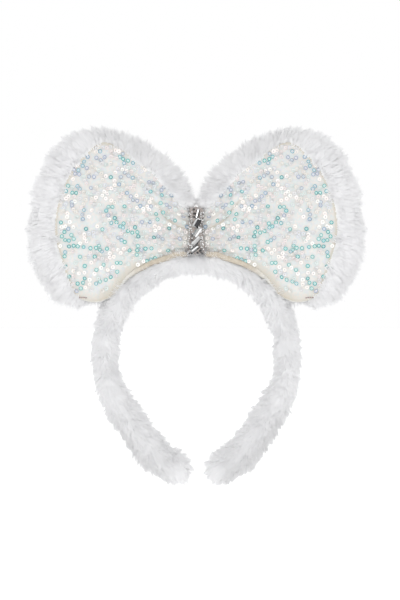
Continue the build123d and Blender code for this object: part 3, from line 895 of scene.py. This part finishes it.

# the net's pastel mottle paints an iridescent shimmer, and the net is warmer where it is gathered, folded or
# bare of sequins
net_material, tree, shader = node_material("sequin_net", Roughness=0.55, Sheen_Weight=0.15)
painted_shimmer = ramp(
    tree,
    noise(tree, 0.42, 2.0, 0.6),
    [
        (0.34, (0.66, 0.66, 0.705)),
        (0.42, (0.64, 0.695, 0.68)),
        (0.50, (0.685, 0.69, 0.68)),
        (0.57, (0.72, 0.68, 0.665)),
        (0.66, (0.71, 0.705, 0.665)),
    ],
)
warm = mixed(tree, vertex_value(tree, "warmth"), painted_shimmer, (0.54, 0.49, 0.40))
feed(tree, shader, Base_Color=warm, Specular_IOR_Level=0.3)
normal = bump(tree, shader, noise(tree, 1.6, 4.0), 0.5, 0.15)
woven(tree, shader, 0.5 / (0.55 * MM) / 3.1416, 0.35, 0.1, normal)


def sequin_material(name, rims, hearts, hole_shadow):
    """Film sequins, each its own shade: a rim that is the film's colour deepened by painted shadow, a paler
    heart that is partly painted highlight, a painted glint at the outer edge and painted shadow round the
    hole.
    """
    material, tree, shader = node_material(name, Roughness=0.25, Coat_Weight=0.5, Coat_Roughness=0.12)
    island = tree.nodes.new("ShaderNodeNewGeometry").outputs["Random Per Island"]
    reach = vertex_value(tree, "reach")
    black, grey = (0, 0, 0), (0.35, 0.35, 0.35)
    # the rim colour holds painted shadow, and at the very edge it turns back towards the heart's colour as a
    # painted glint
    outer = ramp(tree, reach, [(0.50, black), (0.62, WHITE), (0.90, WHITE), (1.0, grey)])
    # painted shadow round the hole
    inner = ramp(tree, reach, [(0.26, WHITE), (0.34, black)])
    face = mixed(tree, outer, banded(tree, island, hearts), banded(tree, island, rims))
    feed(tree, shader, Base_Color=mixed(tree, inner, face, hole_shadow))
    bump(tree, shader, noise(tree, 1.5), 0.35, 0.08)
    return material


# for each kind: the rims' shades, deepened by painted shadow, the hearts' shades, partly painted highlight,
# and the painted shadow round the hole
SEQUIN_SETS = {
    "teal": (
        [(0.08, 0.34, 0.34), (0.11, 0.41, 0.40), (0.20, 0.46, 0.44)]
        + [(0.07, 0.26, 0.28), (0.16, 0.40, 0.44), (0.09, 0.42, 0.38)],
        [(0.66, 0.96, 0.93), (0.80, 0.97, 0.96), (0.54, 0.90, 0.87), (0.84, 0.96, 0.97)],
        (0.24, 0.50, 0.50),
    ),
    "lilac": (
        [(0.24, 0.37, 0.48), (0.35, 0.40, 0.50), (0.22, 0.42, 0.48), (0.38, 0.40, 0.47)],
        [(0.80, 0.84, 0.92), (0.86, 0.86, 0.92), (0.74, 0.86, 0.92)],
        (0.36, 0.40, 0.48),
    ),
    "pearl": (
        [(0.90, 0.85, 0.80), (0.94, 0.89, 0.87), (0.92, 0.85, 0.81), (0.95, 0.94, 0.90)],
        [(0.97, 0.94, 0.92), (0.97, 0.92, 0.91), (0.96, 0.96, 0.94)],
        (0.46, 0.38, 0.34),
    ),
    "clear": (
        [(0.66, 0.66, 0.67), (0.62, 0.70, 0.68), (0.65, 0.66, 0.72), (0.73, 0.70, 0.65), (0.75, 0.68, 0.67)],
        [(0.80, 0.80, 0.80), (0.77, 0.82, 0.81), (0.84, 0.83, 0.80), (0.84, 0.79, 0.79)],
        (0.60, 0.58, 0.57),
    ),
}
sequin_looks = {name: sequin_material(f"sequin_{name}", *look) for name, look in SEQUIN_SETS.items()}

rng = np.random.default_rng(4)
spots, kind = sequin_places(rng)
spot_place, spot_normal, spot_along = net_frame(spots[:, 0], spots[:, 1])

# ---------------- ears: pieces


RIM_TUFTS = 3.6
BACK_TUFTS = 2.8
EAR_LOCK = 17.0


def ear_fur(on_rim, rng):
    """Pile on the rim, or else on the back panel, of the right-hand ear."""
    quads = front_quads if on_rim else back_quads
    keep = np.ones(len(quads), bool)
    if on_rim:
        middle = ear_verts[quads].mean(axis=1)[:, [0, 2]]
        keep = ~inside(middle, window) | (edge_distance(middle, window) < 1.8)
    per_mm2 = RIM_TUFTS if on_rim else BACK_TUFTS
    root, normal = scatter(ear_verts, quads, keep, per_mm2, rng)
    flat = root[:, [0, 2]]
    comb = np.insert(flat - EAR_CENTRE, 1, 0, axis=1)
    if on_rim:
        comb = unit(unit(comb) + np.array([0.42, 0, -0.30]))
    else:
        comb = unit(comb / 45.0 + np.array([0.25, 0, -0.9]))
    swirl = beside(waves(root, 26.0, 41), waves(root, 20.0, 42) * 0.4, waves(root, 26.0, 43))
    comb = comb + swirl * 0.16
    near_window = smoothstep(edge_distance(flat, window), 0, 6) if on_rim else np.ones(len(flat))
    comb = comb * (0.65 + 0.35 * near_window)[:, None]
    comb = laid(comb, normal)
    length = (7.6 + waves(root, 15.0, 44) * 0.7) * (0.6 + 0.4 * near_window)
    near_knot = smoothstep(np.hypot(*(flat - GATHER).T), 12, 34)
    near_band = smoothstep(from_hoop(flat), BASE_RADIUS, BASE_RADIUS + 8)
    near_band = np.maximum(near_band, smoothstep(flat[:, 0], 62, 78))
    length = length * (0.6 + 0.4 * near_knot) * (0.72 + 0.28 * near_band)
    pull = 0.35 + 0.5 * smoothstep(np.abs(normal[:, 1]), 0.9, 0.4)
    return pile(root, normal, comb, length, rng, pull, EAR_LOCK, per_mm2)


rim_pile = ear_fur(True, np.random.default_rng(51))
back_pile = ear_fur(False, np.random.default_rng(52))


def hem_tube():
    """Flat folded binding along the net's lower edge."""
    u = np.linspace(0.0, 1.0, 150)
    place, normal, along = net_frame(u, np.zeros_like(u))
    up = unit(np.cross(normal, along))
    up = up * np.where(up[:, 2:3] < 0, -1, 1)
    # each corner of the section: how far up the net and how far out of it
    section = [(-2.4, -0.6), (-1.3, 0.5), (0.1, 0.9), (1.3, 0.7), (1.7, 0.2), (1.1, -0.25), (-1.6, -1.1)]
    wobble = waves(place, 9.0, 61, 2)[:, None]
    x = place[:, :1]
    proud = 0.8 * smoothstep(x, 40, 20) - 0.5 * smoothstep(x, 48, 58)
    size = 1 - 0.65 * smoothstep(x, 44, 58)
    rings = []
    for a, b in section:
        rings.append(place + up * size * (a + wobble * 0.25) + normal * (size * (b + wobble * 0.12) + proud))
    verts = np.stack(rings, axis=1).reshape(-1, 3)
    return verts, grid_quads(len(u), len(section), closed_columns=True)


hem_verts, hem_quads = hem_tube()

if quad_ways(net_verts, net_quads)[:, 1].mean() > 0:
    net_quads = net_quads[:, ::-1]

# the net's warmth: along the fold, by the hem, round the other edges and beside the knot
net_x, net_z = net_verts[:, 0], net_verts[:, 2]
net_flat = net_verts[:, [0, 2]]
net_off, net_strong = crease_offset(net_x, net_z)
net_foot = edge_distance(net_flat, bottom_line)
net_top = edge_distance(net_flat, top_line) + 3 * smoothstep(net_x, 60, 30)
net_side = np.minimum(edge_distance(net_flat, outer_line), net_top)
low_margin = smoothstep(net_x, 34, 46) * smoothstep(net_x, 76, 64)
by_hem = (0.36 + 0.3 * low_margin) * smoothstep(net_foot, 9, 2) + 0.25 * smoothstep(net_foot, 2.4, 0.4)
by_side = 0.55 * smoothstep(net_side, 2.6, 0.8) + 0.12 * smoothstep(net_side, 7, 2)
by_knot = 0.22 * smoothstep(np.hypot(net_x - 4, net_z - 28), 24, 4)
warmth = np.max([0.75 * np.exp(-((net_off / 1.1) ** 2)) * net_strong, by_hem, by_side, by_knot], axis=0)

STITCH_X = (78.7, 80.3, 81.9, 83.4)
STITCH_Z = -19.6


def stitch(place):
    """One short stitch, fat in its middle, that lies across the net: verts, quads."""
    around, along = np.meshgrid(circle(8), np.linspace(-1, 1, 7))
    wide = 0.34 * np.sqrt(np.maximum(1 - along**2, 0.04))
    ring = beside(along * 0.75, -wide * np.sin(around) - 0.35, wide * np.cos(around))
    return place + ring.reshape(-1, 3), grid_quads(*around.shape, closed_columns=True)


# short dark stitches tack the net's lower outer corner down
stitch_feet = nearest(np.array([(x, STITCH_Z) for x in STITCH_X]), net_flat)[0]
stitch_verts, stitch_quads = merged([stitch(net_verts[i]) for i in stitch_feet])
dark_thread = cloth("corner_thread", (0.26, 0.17, 0.18), (0.36, 0.26, 0.27), grain=5.0, depth=0.1)

for side_name, side in SIDES:
    flip = side < 0
    skin = mesh_object(f"ear_pillow_{side_name}", ear_verts, ear_quads, underfur, flip, ear_tris)
    rim = fur_object(f"ear_rim_fur_{side_name}", rim_pile, flip, ear_painted_shade)
    back = fur_object(f"ear_back_fur_{side_name}", back_pile, flip, no_painted_shade)
    net = mesh_object(f"net_{side_name}", net_verts, net_quads, net_material, flip)
    give_value(net, "warmth", warmth)
    hem = mesh_object(f"hem_{side_name}", hem_verts, hem_quads, hem_material, flip)
    give_value(hem, "warmth", smoothstep(hem_verts[:, 0], 54, 34))
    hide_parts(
        f"ear_wadding_front_{side_name}", f"ear_wadding_back_{side_name}", f"ear_plush_back_{side_name}"
    )
    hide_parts(f"ear_plush_rim_{side_name}")
    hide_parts(f"ear_plush_back_{side_name}")
    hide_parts(f"sequin_net_{side_name}", f"window_backing_{side_name}")
    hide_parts(f"hem_binding_{side_name}")
    tacks = mesh_object(f"corner_stitches_{side_name}", stitch_verts, stitch_quads, dark_thread, flip)
    pieces = [(skin, "plush"), (rim, "plush"), (back, "plush"), (net, "net"), (hem, "hem"), (tacks, "thread")]
    for name, look in sequin_looks.items():
        which = kind == name
        place, normal, along = (values[which] for values in (spot_place, spot_normal, spot_along))
        verts, quads, reach = sequin_mesh(place + normal * 0.45, normal, along, np.random.default_rng(8))
        sequins = mesh_object(f"sequins_{name}_{side_name}", verts, quads, look, flip)
        give_value(sequins, "reach", reach)
        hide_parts(f"sequins_{side_name}")
        pieces.append((sequins, "sequin"))
    for piece, slot in pieces:
        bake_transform(piece)

# ---------------- knot: wrap, stones, beads

WRAP_HIGH = wrap_high[2] - 2.2
WRAP_LOW = wrap_low[2]
WRAP_THICK = 0.6


def wrap_loop(t):
    """Round the knot in the side view, from the front's foot up over the top and down the back."""
    corner = 4.2
    half_y = (WRAP_BACK - WRAP_FRONT) / 2
    half_z = (WRAP_HIGH - WRAP_LOW) / 2
    middle_y, middle_z = (WRAP_BACK + WRAP_FRONT) / 2, (WRAP_HIGH + WRAP_LOW) / 2
    points = []
    for way_y, way_z, first in ((-1, 1, 180), (1, 1, 90), (1, -1, 0), (-1, -1, -90)):
        y, z = middle_y + way_y * (half_y - corner), middle_z + way_z * (half_z - corner)
        for a in np.radians(np.linspace(first, first - 90, 12)):
            points.append((y + corner * np.cos(a), z + corner * np.sin(a)))
    points = np.array(points + points[:1])
    run = run_along(points)
    return read_off((t % 1) * run[-1], run, points)


def wrap_half(z):
    """Half the strip's width: pinched in its middle and splayed at its foot."""
    heights = [WRAP_LOW, 15.0, 19.0, 25.0, 34.0, 41.0, WRAP_HIGH]
    return np.interp(z, heights, [7.8, 7.4, 6.2, 5.2, 4.7, 5.2, 5.0])


def wrap_surface(t, s):
    """Point and outward way on the crumpled wrap: t goes round the knot, s from -1 to 1 across it."""
    yz = wrap_loop(t)
    ahead = wrap_loop(t + 0.002) - wrap_loop(t - 0.002)
    out = unit(beside(0 * s, -ahead[:, 1], ahead[:, 0]))
    x = s * wrap_half(yz[:, 1]) + 0.35 * np.sin(t * 61) * s**2
    p = beside(x, yz[:, 0], yz[:, 1])
    folds = waves(p * [1.6, 1, 1], 6.5, 91, 2) * 0.35 + 0.4 * np.sin(yz[:, 1] * 1.15 - x * 1.4)
    lift = folds * 0.55 - 1.9 * np.abs(s) ** 4
    return p + out * lift[:, None], out


tt, ss = np.meshgrid(np.linspace(0, 1, 170, endpoint=False), np.linspace(-1, 1, 23), indexing="ij")
wrap_verts, wrap_out = wrap_surface(tt.ravel(), ss.ravel())
wrap_quads = grid_quads(*tt.shape, closed_rows=True)
if (surface_normals(wrap_verts, wrap_quads) * wrap_out).sum() < 0:
    wrap_quads = wrap_quads[:, ::-1]

wrap_feel = dict(grain=2.2, rough=0.5, depth=0.2, sheen=0.2, weave=0.6)
wrap_material = cloth("wrap_cloth", (0.32, 0.28, 0.26), (0.62, 0.55, 0.52), **wrap_feel)


def metal(name, rough):
    """Polished metal whose separate facets carry painted reflections, each its own grey, and whose beads each
    carry their own tint together with a painted reflection.
    """
    material, tree, shader = node_material(name, Metallic=1.0, Roughness=rough)
    worn = mottled(tree, 0.9, (0.84, 0.84, 0.84), WHITE, 0.35)
    feed(tree, shader, Base_Color=mixed(tree, vertex_value(tree, "tint_and_painted_reflection"), (0.01, 0.01, 0.012), worn))
    bump(tree, shader, noise(tree, 3.0), 0.3, 0.05)
    return material


silver = metal("silver_bead", 0.22)
bright = metal("stone_setting", 0.25)
stone_material = metal("cut_stone", 0.08)

pad_low, pad_high = box_mm("knot_pad")
around, rise = circle(60), np.linspace(0, np.pi, 12)
pad_t, pad_s = np.meshgrid(around, rise, indexing="ij")
pad_half = (pad_high - pad_low) / 2 - np.array([3.0, 1.8, 0.0])
pad_x, pad_y = (np.sign(w) * np.abs(w) ** 0.5 * np.sin(pad_s) ** 0.4 for w in (np.cos(pad_t), np.sin(pad_t)))
pad_verts = beside(pad_x, pad_y, -np.cos(pad_s)).reshape(-1, 3) * pad_half
pad_verts += (pad_low + pad_high) / 2
pad_piece = mesh_object("pad_felt", pad_verts, grid_quads(*pad_t.shape, closed_rows=True)[:, ::-1], felt)
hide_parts("knot_pad")

wrap = mesh_object("wrap_strip", wrap_verts, wrap_quads, wrap_material)
solid = wrap.modifiers.new("thickness", "SOLIDIFY")
solid.thickness = WRAP_THICK * MM
solid.offset = -1

LOOP_STATIONS = 2000
loop_fine = wrap_loop(np.linspace(0, 1, LOOP_STATIONS, endpoint=False))
front_side = loop_fine[:, 0] < (WRAP_FRONT + WRAP_BACK) / 2 - 3


def front_t(z):
    """Where on the loop a height of the front face lies."""
    gap = np.where(front_side, np.abs(loop_fine[:, 1] - z), 1e9)
    return np.argmin(gap) / LOOP_STATIONS


def local_frame(x, z):
    t = np.array([front_t(z)])
    place, out = wrap_surface(t, x / wrap_half(wrap_loop(t)[:, 1]))
    return place[0], out[0]


def facet_bar(place, out, slant, long, wide, tall, painted_facet_reflections):
    """Step-cut bar stone: a table, two long bevels and two end bevels, each with its own painted reflection
    as a shade of grey.
    """
    along = np.array([math.cos(slant), 0, math.sin(slant)])
    along = unit(along - (along @ out) * out)
    side = np.cross(out, along)

    def corner(a, b, height):
        return place + along * a * long / 2 + side * b * wide / 2 + out * tall * height

    cut = 1 - 0.4 * wide / long
    turns = ((-1, -1), (1, -1), (1, 1), (-1, 1))
    low = [corner(a, b, 0.0) for a, b in turns]
    high = [corner(a * cut, b * 0.34, 1.0) for a, b in turns]
    faces = [high, *[[low[k], low[(k + 1) % 4], high[(k + 1) % 4], high[k]] for k in range(4)], low[::-1]]
    table, below, above = painted_facet_reflections
    # the end bevels and the underside take fixed painted reflections
    own = [table, below, 0.9, above, 0.75, 0.2]
    return np.array(faces).reshape(-1, 3), np.arange(24).reshape(6, 4), np.repeat(own, 4)


def ball(place, radius, tint_and_painted_reflection, around=10, up=7):
    theta = np.linspace(0.12, np.pi - 0.12, up)
    phi = circle(around)
    tt, pp = np.meshgrid(theta, phi, indexing="ij")
    shape = beside(np.sin(tt) * np.cos(pp), -np.cos(tt), np.sin(tt) * np.sin(pp)).reshape(-1, 3)
    return place + shape * radius, grid_quads(up, around, closed_columns=True), np.full(len(shape), tint_and_painted_reflection)


def shaded_object(name, parts, material, smooth):
    made = mesh_object(name, *merged(parts), material, smooth=smooth)
    give_value(made, "tint_and_painted_reflection", np.concatenate([p[2] for p in parts]))
    return made


# each bar: x and z of its middle, slant in degrees, length, width, then the painted reflections on its table
# and two long bevels
BARS = [
    (0.9, 40.6, 76, 6.4, 2.0, (0.70, 0.25, 0.85)),
    (0.4, 34.0, 60, 7.0, 3.9, (0.01, 0.05, 0.97)),
    (0.6, 27.4, 56, 8.0, 3.7, (0.42, 0.99, 0.55)),
    (0.1, 20.8, 46, 7.6, 3.6, (0.50, 0.22, 0.97)),
    (-1.0, 15.6, 38, 6.6, 3.1, (0.85, 0.40, 0.30)),
]
# x and z of the single dark beads at the wrap's head and foot
DARK_BEADS = [(-1.8, 43.2), (-1.4, 40.6), (-1.7, 38.2), (2.6, 14.2), (0.9, 13.2), (4.0, 12.8), (-3.2, 12.9)]
# each bead's own tint together with a painted reflection: the darker ones are silver reflecting shade, the
# whitest are pearl
BEAD_TINTS_AND_REFLECTIONS = [0.95, 0.85, 0.99, 0.45, 0.90, 0.70, 0.98, 0.25]

rng = np.random.default_rng(15)
stones, cups, beads = [], [], []
for x, z, slant, long, wide, painted_facet_reflections in BARS:
    place, out = local_frame(x, z)
    out = unit(out + rng.normal(size=3) * 0.06)
    slant = math.radians(slant)
    stones.append(facet_bar(place + out * 1.0, out, slant, long, wide, 1.1, painted_facet_reflections))
    # each setting carries painted reflections, dark on its table and long bevels
    cups.append(facet_bar(place + out * 0.1, out, slant, long + 0.6, wide + 0.6, 1.4, (0.1, 0.1, 0.3)))
for column in (-1, 1):
    for z in np.arange(WRAP_LOW + 0.9, WRAP_HIGH - 2.4, 1.45):
        edge = float(wrap_half(z))
        for x in np.arange(3.3, edge + 0.3, 1.5):
            across = column * min(x, edge - 0.2) + rng.normal() * 0.25
            place, out = local_frame(across, z + rng.normal() * 0.3)
            place = place + out * rng.uniform(0.3, 0.7)
            beads.append(ball(place, rng.uniform(0.5, 0.86), rng.choice(BEAD_TINTS_AND_REFLECTIONS)))
for x, z in DARK_BEADS:
    place, out = local_frame(x, z)
    beads.append(ball(place + out * 0.7, 0.85, 0.12))
stone_piece = shaded_object("bar_stones", stones, stone_material, False)
cup_piece = shaded_object("bar_settings", cups, bright, False)
bead_piece = shaded_object("wrap_beads_fine", beads, silver, True)
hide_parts("knot_wrap", "knot_core")
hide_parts("baguette_stones")
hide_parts("baguette_settings")
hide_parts("wrap_beads")
slots = {"pad": pad_piece, "wrap": wrap, "stone": stone_piece, "setting": cup_piece, "bead": bead_piece}
for slot, piece in slots.items():
    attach(piece, "crown")

# ---------------- carried-over CAD nodes

plastic = moulded("moulded_strip", 0.2, (0.72, 0.72, 0.70), (0.80, 0.80, 0.78), 0.45, 2.0, 0.3, 0.05)
rubber = moulded("soft_cap", 0.4, (0.60, 0.60, 0.59), (0.70, 0.70, 0.69), 0.7, 1.5, 0.4, 0.08)
looks = {"band_core": plastic, "tip_cap": rubber, "knot_stitches": thread}

for name, node_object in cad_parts.items():
    look = next((found for start, found in looks.items() if name.startswith(start)), felt)
    node_object.data.materials.clear()
    node_object.data.materials.append(look)
